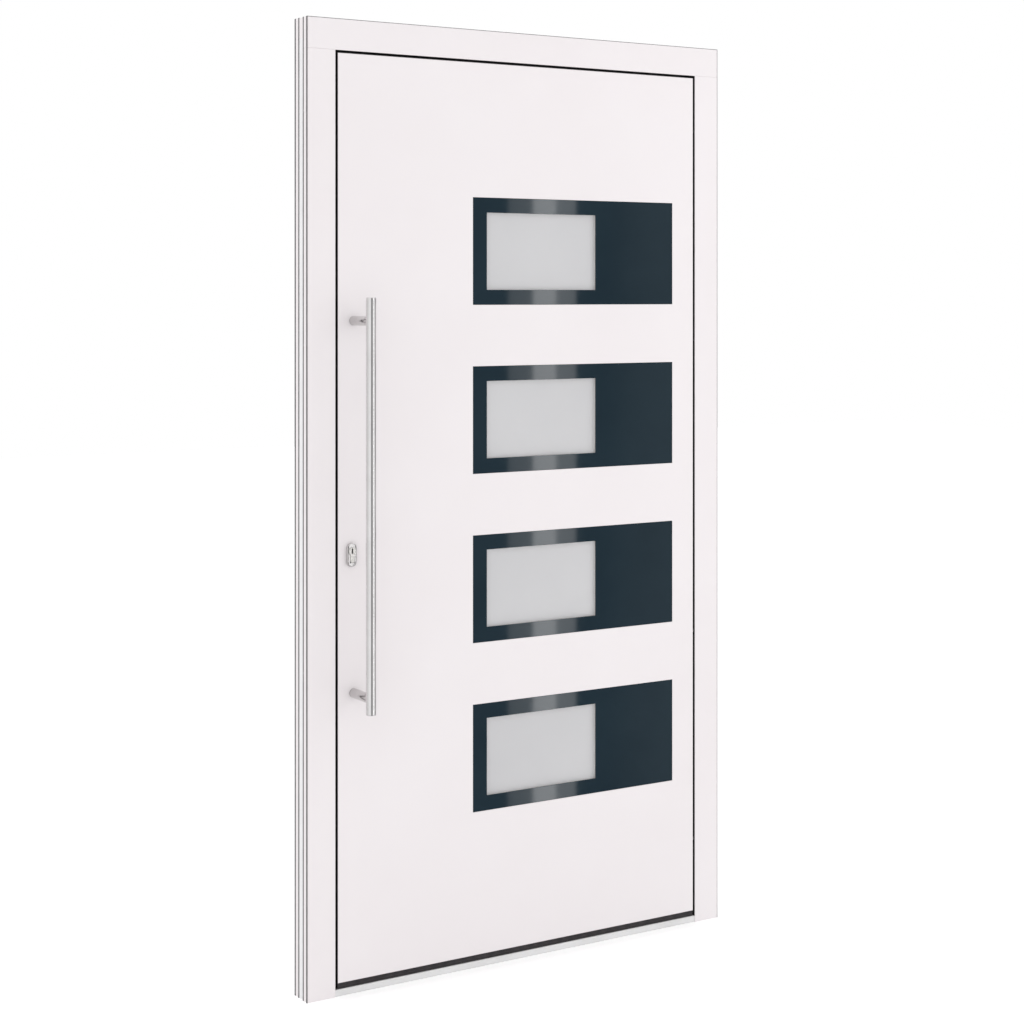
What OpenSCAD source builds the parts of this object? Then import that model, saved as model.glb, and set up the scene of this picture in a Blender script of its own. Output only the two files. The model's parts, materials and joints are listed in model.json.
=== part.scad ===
// Inward-opening entrance door in its own frame: a flush insulated leaf with four glazed
// plates, a long pull bar, a three-point lock and three pinned hinges.
// Origin: middle of the frame's width and depth, at floor level. -Y is outside, +Y is the room.
// "Inset" (the letter e in names) is the distance from the frame's outer edge towards the middle.

/* [Door] */
// Width over the frame
door_w = 1100; // [900:10:1300]
// Height over the frame
door_h = 2100; // [2000:10:2300]
// Depth of the frame
frame_d = 60; // [60:1:75]
// Air gap between frame face and leaf face
face_gap = 6; // [5:0.5:8]
// Depth by which the leaf stands past the frame on the room side
overlap_d = 10; // [8:1:14]

/* [Frame profiles] */
// Width of the frame's outside face
face_w = 67.5; // [62:0.5:80]
// Width of the frame's room side
inner_w = 45; // [42:0.5:50]
// Depth of the outside shell
outer_shell_d = 21; // [18:0.5:24]
// Depth of the room-side shell
inner_shell_d = 19; // [19:0.5:22]
// Wall of the extruded aluminium profiles
wall = 2; // [1.5:0.1:2.5]
// Width of the shadow groove on each side of the thermal break
groove_w = 1.5; // [1:0.1:2.5]
// Chamfer on visible profile edges
edge = 1; // [0.3:0.1:1.5]
// Thickness of the caps that close the head's ends
end_cap_t = 2; // [1:0.5:4]

/* [Threshold] */
// Height of the threshold above the floor
threshold_h = 15; // [12:1:20]
// Gap between threshold and leaf, closed by the bottom seal
threshold_gap = 14; // [10:1:18]
// How far the threshold is set back from the frame's face
threshold_setback = 2; // [0:0.5:6]

/* [Leaf] */
// Thickness of the outside and the room-side skin
skin_t = 3; // [2:0.5:4]
// Width of the leaf's edge profiles on the outside
stile_w = 50; // [46:1:60]
// Height of the bottom rail
bottom_rail_h = 73.5; // [60:0.5:110]

/* [Windows] */
// Number of glazed plates, evenly spaced up the leaf
plates = 4; // [4]
// Width of a plate
plate_w = 553.5; // [400:0.5:560]
// Height of a plate
plate_h = 240.5; // [200:0.5:300]
// Height of the lowest plate's bottom edge above the floor
plate_z = 349.3; // [300:0.1:400]
// Distance from one plate to the next
plate_pitch = 378.4; // [320:0.1:400]
// Distance of the plates' free edge from the frame's outer edge, hinge side
plate_inset = 135.5; // [130:0.5:180]
// Width of a window opening
window_w = 296; // [180:1:400]
// Height of a window opening
window_h = 173.5; // [140:0.5:200]
// Plate left standing beside the window, lock side
window_margin = 36.6; // [30:0.1:80]
// Thickness of one pane
pane_t = 6; // [4:1:8]
// Depth of the sealing tape between plate and pane
tape_t = 4; // [2:0.5:6]
// Overlap of pane and plate round the window
glass_bite = 12; // [10:1:16]

/* [Pull bar] */
// Radius of the pull bar
bar_r = 11; // [9:0.5:20]
// Height of the bar's lower end above the floor
bar_z = 615; // [400:0.5:700]
// Length of the bar
bar_len = 886; // [500:1:1200]
// Distance of the bar's axis from the leaf
bar_reach = 80; // [55:1:100]
// Inset of the bar's axis
bar_inset = 111; // [105:0.5:115]
// Distance of the lower and the upper post from the bar's end next to it
post_setback = [33.5, 50]; // [25:0.5:120]
// Radius of a post
post_r = 10.5; // [8:0.5:12]

/* [Lock] */
// Height of the key cylinder's axis
cylinder_z = 955; // [940:1:1100]
// Inset of the key cylinder and of the lever
lock_inset = 104; // [100:0.5:110]
// Height of the lever's axis above the cylinder's axis
lever_rise = 92; // [92]
// Throw of the latch
latch_throw = 12; // [8:0.5:14]
// Throw of the deadbolt
bolt_throw = 20; // [12:0.5:22]
// Height of the two hook bolts' pivots above the floor
hook_z = [400, 1700]; // [300:1:1750]
// Travel of the drive rod
rod_travel = 18; // [10:1:20]
// Length of the lever's grip
lever_len = 125; // [100:1:150]
// Clearance of parts that slide in the lock
slide_clear = 0.3; // [0.2:0.05:0.5]
// Radial clearance of parts that turn in a bore
turn_clear = 0.05; // [0.02:0.01:0.09]

/* [Hinges] */
// Height of each hinge's middle above the floor
hinge_z = [240, 1050, 1860]; // [150:1:1900]
// Radius of the hinge knuckles
knuckle_r = 10; // [9:0.5:11]
// Height of a whole hinge
hinge_h = 110; // [90:1:140]
// Radius of a hinge pin
pin_r = 4; // [3:0.5:5]

/* [Fixing] */
// Radius of the holes for the wall anchors
anchor_r = 5.25; // [3:0.25:6]
// Distance between the upper and lower anchor of the outer pair
anchor_outer = 1700; // [1600:10:1800]
// Distance between the upper and lower anchor of the inner pair
anchor_inner = 700; // [500:10:900]
// Radius of the countersunk screws' shanks
screw_r = 2.4; // [2:0.1:2.5]
// Length of the countersunk screws
screw_len = 12; // [10:0.5:13]

/* [Hidden] */
$fn = 64;

white = "#eceaea";
anthracite = "#2b3940";
steel = "#c4c5c8";
black = "#161616";
grey = "#c9c9cb";
tiny = 0.01;

// Depths along Y
front_y = -frame_d / 2;
back_y = frame_d / 2;
break_y0 = front_y + outer_shell_d;
break_y1 = back_y - inner_shell_d;
leaf_back_y = back_y + overlap_d;
skin_back_y = front_y + skin_t;
inner_skin_y = leaf_back_y - skin_t;
seal_gap = 5;
step_y = break_y0 + seal_gap;
leaf_break_y1 = break_y1 - 1;
flange_t = 3;
flange_y = inner_skin_y - flange_t;

// Insets from the frame's outer edge
leaf_e = face_w + face_gap;
rebate_gap = 5;
leaf_inner_e = inner_w + rebate_gap;
flange_w = 12;
flange_e = leaf_inner_e - flange_w;
stile_e = leaf_e + stile_w;
lock_x = -door_w / 2 + lock_inset;

// Heights
leaf_z = threshold_h + threshold_gap;
leaf_top = door_h - leaf_e;
leaf_inner_top = door_h - leaf_inner_e;
flange_top = door_h - flange_e;
core_top = door_h - stile_e;
core_bottom = leaf_z + bottom_rail_h;
inner_skin_drop = 8;

// Glass build-up along Y
plate_x = door_w / 2 - plate_inset - plate_w;
window_x = plate_x + window_margin;
pane_y = skin_back_y + tape_t;
pane_gap = 22;
inner_pane_y = pane_y + pane_t + pane_gap;
fit_gap = 0.3;

// Lock chamber: the parts sit on one plane, seen from above
lock_y = (break_y1 + wall + back_y - wall) / 2 - 0.5;
faceplate_w = 16;
faceplate_t = 3;
faceplate_end = 75;
rod_w = 14;
rod_t = 3;
rod_e = leaf_inner_e + faceplate_t + slide_clear;
case_e = rod_e + rod_t + 0.7;
case_d = 15;
case_wall = 1.5;
case_back_e = lock_inset + 17;
case_z0 = cylinder_z - 38;
case_z1 = cylinder_z + 158;
lever_z = cylinder_z + lever_rise;
latch_h = 28;
latch_z = lever_z + 20;
latch_t = 10.6;
latch_len = 50;
bolt_h = 30;
bolt_z = cylinder_z + 18;
bolt_t = 10;
bolt_len = 40;
spindle = 8;
follower_r = 10;
neck_r = 9;
strike_t = 2;
strike_w = 16;
strike_clear = 0.7;

// Hook bolts: a ring sector that swings out of the leaf's edge round its pivot
hook_pivot_e = leaf_inner_e + 22;
hook_r0 = 30;
hook_r1 = 40;
hook_t = 8;
hook_start = 82;
hook_span = 60;
hook_hub_r = 7;
hook_pin_r = 4;
hook_slot = [-38, -6];
hook_case = [-48, 14];
hook_case_back = 34;
hook_screw = [-44, 10];

// Euro-profile cylinder
cyl_r = 8.5;
cyl_leg = 10;
cyl_h = 33;
plug_r = 6.5;
cyl_proud = 8;
cam_t = 8;
cam_r = 14.5;
cam_w = 8;
cyl_clear = 0.3;
rosette_w = 23;
rosette_h = 51;
rosette_t = 7;
lever_rosette_r = 26;

// Pull bar fixing
bar_x = -door_w / 2 + bar_inset;
bar_y = front_y - bar_reach;
post_z = [bar_z + post_setback[0], bar_z + bar_len - post_setback[1]];
stud_r = 4;
stud_out = 20;
nut_r = 7;
nut_t = 6.4;

// Hinges
hinge_x = door_w / 2 - flange_e + 1 + knuckle_r;
hinge_y = leaf_back_y + 1;
hinge_plate_t = 3;
mid_knuckle_h = 42;
knuckle_gap = 0.3;
hinge_screw_dz = 40;
hinge_frame_screw_x = door_w / 2 - 9;
hinge_leaf_screw_x = hinge_x - knuckle_r - 27;
hinge_leaf_plate = 40;

screw_head_r = 4.4;
screw_head_t = 2.2;
screw_clear = 0.1;

// Anchors sit on the middle of the outside shell, in pairs round the frame's half height
anchor_y = front_y + outer_shell_d / 2;
anchor_z = [for (span = [anchor_outer, anchor_inner], s = [-1, 1]) door_h / 2 + s * span / 2];

// ---- helpers ----

module box(lo, hi) {
    translate(lo) cube(hi - lo);
}

// Draws on the lock side (left); side = 1 mirrors it to the hinge side
module on_side(side) {
    mirror([side > 0 ? 1 : 0, 0, 0]) children();
}

// Turns an outline drawn as (inset, y) into a member of the head, x0 to x1 along X
module along_head(x0, x1) {
    translate([x0, 0, door_h]) rotate([0, 90, 0]) linear_extrude(x1 - x0) children();
}

// Stands an outline drawn as (inset, y) up as the lock-side member
module along_jamb(z0, z1) {
    translate([-door_w / 2, 0, z0]) linear_extrude(z1 - z0) children();
}

// Rectangle with a chamfer of its own at each corner, from the low corner counter-clockwise
module chamfered(e0, e1, y0, y1, c = [0, 0, 0, 0]) {
    polygon([
        [e0 + c[0], y0], [e1 - c[1], y0], [e1, y0 + c[1]], [e1, y1 - c[2]],
        [e1 - c[2], y1], [e0 + c[3], y1], [e0, y1 - c[3]], [e0, y0 + c[0]]
    ]);
}

module cyl_y(x, z, r, y0, y1) {
    translate([x, y0, z]) rotate([-90, 0, 0]) cylinder(r = r, h = y1 - y0);
}

module cyl_x(y, z, r, x0, x1) {
    translate([x0, y, z]) rotate([0, 90, 0]) cylinder(r = r, h = x1 - x0);
}

// Rectangular ring in the XZ plane, from y0 to y1
module ring(lo, hi, width, y0, y1) {
    difference() {
        box([lo[0], y0, lo[1]], [hi[0], y1, hi[1]]);
        box([lo[0] + width, y0 - 1, lo[1] + width], [hi[0] - width, y1 + 1, hi[1] - width]);
    }
}

// Sheet in the XZ plane whose outside edges are chamfered
module sheet(lo, hi, y0, y1, c) {
    intersection() {
        translate([0, 0, lo[1]]) linear_extrude(hi[1] - lo[1])
            chamfered(lo[0], hi[0], y0, y1, [c, c, 0, 0]);
        translate([lo[0], 0, 0]) rotate([90, 0, 90]) linear_extrude(hi[0] - lo[0])
            chamfered(y0, y1, lo[1], hi[1], [c, 0, 0, c]);
    }
}

// Countersunk screw whose head is flush with the origin, shank along -Z
module screw(grow = 0) {
    translate([0, 0, -screw_len]) cylinder(r = screw_r + grow, h = screw_len + grow);
    translate([0, 0, -screw_head_t])
        cylinder(r1 = screw_r + grow, r2 = screw_head_r + grow, h = screw_head_t);
}

module screw_in_edge(e, z, grow = 0) {
    translate([-door_w / 2 + e, lock_y, z]) rotate([0, -90, 0]) screw(grow);
}

module screw_in_strike(z, grow = 0) {
    translate([-door_w / 2 + inner_w + strike_t, lock_y, z]) rotate([0, 90, 0]) screw(grow);
}

module screw_in_room_face(x, y, z, grow = 0) {
    translate([x, y, z]) rotate([-90, 0, 0]) screw(grow);
}

// ---- frame ----

module outer_shell_outline() {
    difference() {
        chamfered(0, face_w, front_y, break_y0, [edge, edge, 0, edge]);
        chamfered(wall, face_w - wall, front_y + wall, break_y0 - wall);
    }
}

module thermal_break_outline() {
    rib = 0.4;
    recess = 3;
    chamfered(recess, inner_w, break_y0, break_y1);
    chamfered(rib, recess + tiny, break_y0 + groove_w, break_y1 - groove_w);
}

module inner_shell_outline() {
    difference() {
        chamfered(0, inner_w, break_y1, back_y, [edge, 0, edge, edge]);
        chamfered(wall, inner_w - wall, break_y1 + wall, back_y - wall);
    }
}

head_x = door_w / 2 - end_cap_t;

module head_outer_shell() {
    color(white) along_head(-head_x, head_x) outer_shell_outline();
}

module head_thermal_break() {
    color(grey) along_head(-head_x, head_x) thermal_break_outline();
}

module head_inner_shell() {
    color(white) along_head(-head_x, head_x) inner_shell_outline();
}

module head_end_caps() {
    color(white) for (side = [-1, 1]) on_side(side) {
        along_head(-door_w / 2, -head_x)
            chamfered(0, face_w, front_y, break_y0, [edge, edge, 0, edge]);
        along_head(-door_w / 2 + 0.4, -head_x)
            chamfered(0.4, inner_w, break_y0 + groove_w, break_y1 - groove_w);
        along_head(-door_w / 2, -head_x)
            chamfered(0, inner_w, break_y1, back_y, [edge, 0, edge, edge]);
    }
}

module anchor_holes() {
    for (z = anchor_z)
        cyl_x(anchor_y, z, anchor_r, -door_w / 2 - 1, -door_w / 2 + face_w + 1);
}

module jamb_outer_shell(side) {
    color(white) on_side(side) difference() {
        along_jamb(0, door_h - face_w) outer_shell_outline();
        anchor_holes();
    }
}

module jamb_thermal_break(side) {
    color(grey) on_side(side) along_jamb(0, door_h - inner_w) thermal_break_outline();
}

module strike_pockets(grow) {
    for (slot = [[latch_z, latch_h], [bolt_z, bolt_h]])
        box([-door_w / 2 + inner_w - wall - 1, lock_y - latch_t / 2 - grow, slot[0] - grow],
            [-door_w / 2 + inner_w + strike_t + 1, lock_y + latch_t / 2 + grow,
             slot[0] + slot[1] + grow]);
}

module hook_pockets(grow) {
    for (z = hook_z)
        box([-door_w / 2 + inner_w - wall - 1, lock_y - hook_t / 2 - grow, z + hook_slot[0]],
            [-door_w / 2 + inner_w + strike_t + 1, lock_y + hook_t / 2 + grow,
             z + hook_slot[1]]);
}

strike_z = [bolt_z - 18, latch_z + latch_h + 18];
strike_screws_z = [strike_z[0] + 8, strike_z[1] - 8];
hook_strike = [hook_slot[0] - 16, hook_slot[1] + 26];
hook_strike_screws = [for (z = hook_z, dz = [hook_strike[0] + 7, hook_strike[1] - 7]) z + dz];

module strike_screw_set(grow = 0) {
    for (z = concat(strike_screws_z, hook_strike_screws)) screw_in_strike(z, grow);
}

module hinge_frame_screw_set(grow = 0) {
    for (z = hinge_z, s = [-1, 1])
        screw_in_room_face(hinge_frame_screw_x, back_y + hinge_plate_t,
                           z + s * hinge_screw_dz, grow);
}

module lock_jamb_inner_shell() {
    color(white) difference() {
        along_jamb(0, door_h - inner_w) inner_shell_outline();
        strike_pockets(strike_clear);
        hook_pockets(strike_clear);
        strike_screw_set(screw_clear);
    }
}

module hinge_jamb_inner_shell() {
    color(white) difference() {
        on_side(1) along_jamb(0, door_h - inner_w) inner_shell_outline();
        hinge_frame_screw_set(screw_clear);
    }
}

threshold_front = front_y + threshold_setback;
threshold_mid = break_y0 + 12;

module threshold_rail(y0, y1, e, c) {
    x = door_w / 2 - e - fit_gap;
    translate([-x, 0, 0]) rotate([90, 0, 90]) linear_extrude(2 * x)
        chamfered(y0, y1, 0, threshold_h, [0, 0, 0, c]);
}

module threshold_outer_rail() {
    color(grey) threshold_rail(threshold_front, break_y0, face_w, edge);
}

module threshold_thermal_break() {
    x = door_w / 2 - inner_w - fit_gap;
    color(black) box([-x, break_y0, 0], [x, threshold_mid, threshold_h - edge]);
}

module threshold_inner_rail() {
    color(grey) threshold_rail(threshold_mid, back_y, inner_w, 0);
}

// Gasket on the frame's stop, which the closed leaf rests against
module frame_seal() {
    seal_e = face_w - 9;
    seal_w = 6;
    color(black) difference() {
        box([-door_w / 2 + seal_e, break_y0, threshold_h],
            [door_w / 2 - seal_e, step_y - fit_gap, door_h - seal_e]);
        box([-door_w / 2 + seal_e + seal_w, break_y0 - 1, threshold_h - 1],
            [door_w / 2 - seal_e - seal_w, step_y + 1, door_h - seal_e - seal_w]);
    }
}

module strike_plate(z0, z1) {
    box([-door_w / 2 + inner_w, lock_y - strike_w / 2, z0],
        [-door_w / 2 + inner_w + strike_t, lock_y + strike_w / 2, z1]);
}

module main_strike() {
    color(steel) difference() {
        strike_plate(strike_z[0], strike_z[1]);
        strike_pockets(strike_clear);
        strike_screw_set(screw_clear);
    }
}

module hook_strikes() {
    color(steel) difference() {
        for (z = hook_z) strike_plate(z + hook_strike[0], z + hook_strike[1]);
        hook_pockets(strike_clear);
        strike_screw_set(screw_clear);
    }
}

module frame_screws() {
    color(steel) {
        strike_screw_set();
        hinge_frame_screw_set();
    }
}

// ---- hinges ----

module knuckle(z0, z1, bore) {
    translate([hinge_x, hinge_y, z0]) difference() {
        cylinder(r = knuckle_r, h = z1 - z0);
        translate([0, 0, -1]) cylinder(r = bore, h = z1 - z0 + 2);
    }
}

module hinge_frame_half(z) {
    plate_x0 = hinge_x + knuckle_r + 2;
    half = hinge_h / 2;
    split = mid_knuckle_h / 2 + knuckle_gap;
    color(white) difference() {
        union() {
            box([plate_x0, back_y, z - half], [door_w / 2 - 1, back_y + hinge_plate_t, z + half]);
            for (s = [-1, 1]) {
                low = s > 0 ? z + split : z - half;
                translate([hinge_x, hinge_y, low]) cylinder(r = knuckle_r, h = half - split);
                box([hinge_x + 2, back_y, low],
                    [plate_x0 + 1, back_y + hinge_plate_t, low + half - split]);
                box([hinge_x + 2, back_y, low], [hinge_x + 9, hinge_y, low + half - split]);
            }
        }
        translate([hinge_x, hinge_y, z - half - 1])
            cylinder(r = pin_r + turn_clear, h = hinge_h + 2);
        hinge_frame_screw_set(screw_clear);
    }
}

module hinge_pins() {
    color(steel) for (z = hinge_z) translate([hinge_x, hinge_y, z]) {
        translate([0, 0, -hinge_h / 2]) cylinder(r = pin_r, h = hinge_h + tiny);
        translate([0, 0, hinge_h / 2]) cylinder(r = knuckle_r, h = 2);
        translate([0, 0, hinge_h / 2 + 2]) cylinder(r1 = knuckle_r, r2 = knuckle_r - 1.5, h = 1.5);
    }
}

module hinge_leaf_screw_set(grow = 0) {
    for (z = hinge_z, s = [-1, 1])
        screw_in_room_face(hinge_leaf_screw_x, leaf_back_y + hinge_plate_t,
                           z + s * hinge_screw_dz, grow);
}

module hinge_leaf_half(z) {
    plate_x1 = hinge_x - knuckle_r - 3;
    half = hinge_h / 2;
    mid = mid_knuckle_h / 2;
    color(white) difference() {
        union() {
            box([plate_x1 - hinge_leaf_plate, leaf_back_y, z - half],
                [plate_x1, leaf_back_y + hinge_plate_t, z + half]);
            box([plate_x1 - 1, leaf_back_y, z - mid],
                [hinge_x, leaf_back_y + hinge_plate_t, z + mid]);
            translate([hinge_x, hinge_y, z - mid]) cylinder(r = knuckle_r, h = 2 * mid);
        }
        translate([hinge_x, hinge_y, z - mid - 1])
            cylinder(r = pin_r + turn_clear, h = 2 * mid + 2);
        hinge_leaf_screw_set(screw_clear);
    }
}

// ---- leaf ----

// Keyway-shaped outline of a profile cylinder, drawn round its axis as (x, z)
module euro_outline(grow = 0) {
    circle(r = cyl_r + grow);
    low = -(cyl_h - cyl_r - cyl_leg / 2);
    translate([-cyl_leg / 2 - grow, low]) square([cyl_leg + 2 * grow, -low]);
    translate([0, low]) circle(r = cyl_leg / 2 + grow);
}

module euro_prism(y0, y1, grow = 0) {
    translate([lock_x, y1, cylinder_z]) rotate([90, 0, 0]) linear_extrude(y1 - y0)
        euro_outline(grow);
}

module spindle_hole() {
    cyl_y(lock_x, lever_z, neck_r + 0.5, break_y1 - 2, leaf_back_y + 1);
}

module pull_holes() {
    for (z = post_z) cyl_y(bar_x, z, stud_r + 0.1, front_y - 1, front_y + skin_t + wall + 1);
}

module plate_openings(grow) {
    for (i = [0 : plates - 1]) {
        z = plate_z + i * plate_pitch;
        box([plate_x - grow, front_y - 1, z - grow],
            [plate_x + plate_w + grow, skin_back_y + 1, z + plate_h + grow]);
    }
}

function window_z(i) = plate_z + i * plate_pitch + (plate_h - window_h) / 2;

// Rectangular prism over each window, larger than the opening by grow on every side
module window_prisms(grow, y0, y1) {
    for (i = [0 : plates - 1])
        box([window_x - grow, y0, window_z(i) - grow],
            [window_x + window_w + grow, y1, window_z(i) + window_h + grow]);
}

module window_rings(outer, inner, y0, y1) {
    difference() {
        window_prisms(outer, y0, y1);
        window_prisms(inner, y0 - 1, y1 + 1);
    }
}

module outer_skin() {
    color(white) difference() {
        sheet([-door_w / 2 + leaf_e, leaf_z], [door_w / 2 - leaf_e, leaf_top],
              front_y, skin_back_y, edge);
        plate_openings(fit_gap);
        euro_prism(front_y - 1, skin_back_y + 1, cyl_clear);
        pull_holes();
    }
}

module inner_skin() {
    color(white) difference() {
        box([-door_w / 2 + flange_e, inner_skin_y, leaf_z - inner_skin_drop],
            [door_w / 2 - flange_e, leaf_back_y, flange_top]);
        window_prisms(glass_bite, inner_skin_y - 1, leaf_back_y + 1);
        euro_prism(inner_skin_y - 1, leaf_back_y + 1, cyl_clear);
        spindle_hole();
        hinge_leaf_screw_set(screw_clear);
    }
}

module leaf_outer_outline(e0, e1) {
    difference() {
        chamfered(e0, e1, skin_back_y, step_y);
        chamfered(e0 + wall, e1 - wall, skin_back_y + wall, step_y - wall);
    }
}

module leaf_inner_outline(e0, e1) {
    difference() {
        chamfered(e0, e1, leaf_break_y1, inner_skin_y);
        chamfered(e0 + wall, e1 - wall, leaf_break_y1 + wall, inner_skin_y - wall);
    }
}

// A stile: outside tube, and the room-side tube with the flange that laps over the frame
module stile() {
    along_jamb(leaf_z, leaf_top) leaf_outer_outline(leaf_e, stile_e);
    along_jamb(leaf_z, leaf_inner_top) {
        leaf_inner_outline(leaf_inner_e, stile_e);
        chamfered(flange_e, leaf_inner_e + wall, flange_y, inner_skin_y);
    }
}

module faceplate_cut() {
    box([-door_w / 2 + leaf_inner_e - 1, lock_y - faceplate_w / 2 - screw_clear,
         hook_z[0] - faceplate_end - screw_clear],
        [-door_w / 2 + leaf_inner_e + wall + 1, lock_y + faceplate_w / 2 + screw_clear,
         hook_z[1] + faceplate_end + screw_clear]);
}

module lock_stile() {
    color(white) difference() {
        stile();
        faceplate_cut();
        euro_prism(skin_back_y - 1, inner_skin_y + 1, cyl_clear);
        spindle_hole();
        pull_holes();
    }
}

module hinge_stile() {
    color(white) difference() {
        on_side(1) stile();
        hinge_leaf_screw_set(screw_clear);
    }
}

rail_x = door_w / 2 - stile_e;

module top_rail() {
    color(white) {
        along_head(-rail_x, rail_x) leaf_outer_outline(leaf_e, stile_e);
        along_head(-rail_x, rail_x) leaf_inner_outline(leaf_inner_e, stile_e);
        along_head(-door_w / 2 + flange_e, door_w / 2 - flange_e)
            chamfered(flange_e, leaf_inner_e, flange_y, inner_skin_y);
    }
}

module bottom_rail() {
    low = door_h - core_bottom;
    high = door_h - leaf_z;
    color(white) along_head(-rail_x, rail_x) {
        leaf_outer_outline(low, high);
        leaf_inner_outline(low, high);
    }
}

module leaf_thermal_breaks() {
    recess = 0.5;
    color(black) difference() {
        union() {
            for (side = [-1, 1]) on_side(side)
                along_jamb(leaf_z, leaf_inner_top - recess)
                    chamfered(leaf_inner_e + recess, stile_e, step_y, leaf_break_y1);
            along_head(-rail_x, rail_x)
                chamfered(leaf_inner_e + recess, stile_e, step_y, leaf_break_y1);
            along_head(-rail_x, rail_x)
                chamfered(door_h - core_bottom, door_h - leaf_z, step_y, leaf_break_y1);
        }
        euro_prism(step_y - 1, leaf_break_y1 + 1, cyl_clear);
    }
}

module insulation_core() {
    color("#d9cfa6") difference() {
        box([-rail_x, skin_back_y, core_bottom], [rail_x, inner_skin_y, core_top]);
        window_prisms(glass_bite + fit_gap, skin_back_y - 1, inner_skin_y + 1);
    }
}

module window_plate(i) {
    z = plate_z + i * plate_pitch;
    color(anthracite) difference() {
        box([plate_x, front_y, z], [plate_x + plate_w, skin_back_y, z + plate_h]);
        window_prisms(0, front_y - 1, skin_back_y + 1);
    }
}

module glass_panes() {
    color("#d6d8da", 0.8) for (y = [pane_y, inner_pane_y])
        window_prisms(glass_bite, y, y + pane_t);
}

module glass_spacers() {
    color(grey) window_rings(glass_bite - 1, 1, pane_y + pane_t, inner_pane_y);
}

module glazing_tapes() {
    color(grey) window_rings(glass_bite, 0, skin_back_y, pane_y);
}

module inner_trims() {
    lip = 10;
    lip_t = 2;
    color(white) {
        window_rings(glass_bite - fit_gap, 0, inner_pane_y + pane_t, leaf_back_y + tiny);
        window_rings(glass_bite + lip, 0, leaf_back_y, leaf_back_y + lip_t);
    }
}

// Gasket under the leaf's flange, on the room side of the frame
module leaf_seal() {
    seal_e = flange_e + 2;
    seal_w = 5;
    color(black) difference() {
        box([-door_w / 2 + seal_e, back_y + fit_gap, leaf_z],
            [door_w / 2 - seal_e, flange_y, door_h - seal_e]);
        box([-door_w / 2 + seal_e + seal_w, back_y - 1, leaf_z - 1],
            [door_w / 2 - seal_e - seal_w, flange_y + 1, door_h - seal_e - seal_w]);
    }
}

module bottom_seal() {
    color(black) {
        box([-door_w / 2 + leaf_e + 1, threshold_front, threshold_h + 0.4],
            [door_w / 2 - leaf_e - 1, threshold_front + 14, leaf_z]);
        box([-door_w / 2 + leaf_inner_e + 1, back_y - 16, threshold_h + 0.4],
            [door_w / 2 - leaf_inner_e - 1, back_y - 4, leaf_z]);
    }
}

// ---- lock ----

case_screws = [case_z0 + 5, case_z1 - 5];
edge_screws = concat(case_screws, [for (z = hook_z, dz = hook_screw) z + dz]);

module edge_screw_set(grow = 0) {
    for (z = edge_screws) screw_in_edge(leaf_inner_e, z, grow);
}

module leaf_screws() {
    color(steel) {
        hinge_leaf_screw_set();
        edge_screw_set();
    }
}

// Hollow box in the lock chamber, from inset e0 to e1
module case_shell(e0, e1, z0, z1) {
    x0 = -door_w / 2 + e0;
    x1 = -door_w / 2 + e1;
    difference() {
        box([x0, lock_y - case_d / 2, z0], [x1, lock_y + case_d / 2, z1]);
        box([x0 + case_wall, lock_y - case_d / 2 + case_wall, z0 + case_wall],
            [x1 - case_wall, lock_y + case_d / 2 - case_wall, z1 - case_wall]);
    }
}

// Prism for a bolt that slides along X, with clearance round it
module bolt_slot(z, h, t, e0, e1, grow) {
    box([-door_w / 2 + e0, lock_y - t / 2 - grow, z - grow],
        [-door_w / 2 + e1, lock_y + t / 2 + grow, z + h + grow]);
}

module bolt_slots(e0, e1) {
    bolt_slot(latch_z, latch_h, latch_t, e0, e1, slide_clear);
    bolt_slot(bolt_z, bolt_h, bolt_t, e0, e1, slide_clear);
}

module lock_case() {
    color(steel) difference() {
        case_shell(case_e, case_back_e, case_z0, case_z1);
        bolt_slots(case_e - 1, case_e + case_wall + 1);
        euro_prism(lock_y - case_d, lock_y + case_d, cyl_clear);
        cyl_y(lock_x, lever_z, spindle / sqrt(2) + 0.5, lock_y, lock_y + case_d);
        edge_screw_set(screw_clear);
    }
}

module hook_slot_cuts(e0, e1) {
    for (z = hook_z)
        box([-door_w / 2 + e0, lock_y - hook_t / 2 - slide_clear, z + hook_slot[0]],
            [-door_w / 2 + e1, lock_y + hook_t / 2 + slide_clear, z + hook_slot[1]]);
}

module hook_cases() {
    color(steel) difference() {
        for (z = hook_z) {
            case_shell(case_e, hook_pivot_e + hook_case_back, z + hook_case[0], z + hook_case[1]);
            cyl_y(-door_w / 2 + hook_pivot_e, z, hook_pin_r,
                  lock_y - case_d / 2 + tiny, lock_y + case_d / 2 - tiny);
        }
        hook_slot_cuts(case_e - 1, case_e + case_wall + 1);
        edge_screw_set(screw_clear);
    }
}

module lock_faceplate() {
    color(steel) difference() {
        box([-door_w / 2 + leaf_inner_e, lock_y - faceplate_w / 2, hook_z[0] - faceplate_end],
            [-door_w / 2 + leaf_inner_e + faceplate_t, lock_y + faceplate_w / 2,
             hook_z[1] + faceplate_end]);
        bolt_slots(leaf_inner_e - 1, leaf_inner_e + faceplate_t + 1);
        hook_slot_cuts(leaf_inner_e - 1, leaf_inner_e + faceplate_t + 1);
        edge_screw_set(screw_clear);
    }
}

cyl_y0 = front_y - cyl_proud;
cyl_y1 = leaf_back_y + cyl_proud;

module cylinder_body() {
    cam_gap = cam_t / 2 + slide_clear;
    color(steel) difference() {
        euro_prism(cyl_y0, cyl_y1);
        cyl_y(lock_x, cylinder_z, plug_r + turn_clear, cyl_y0 - 1, cyl_y1 + 1);
        box([lock_x - cyl_r - 1, lock_y - cam_gap, cylinder_z - cam_r - 1.5],
            [lock_x + cyl_r + 1, lock_y + cam_gap, cylinder_z + cyl_r + 1]);
    }
}

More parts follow.
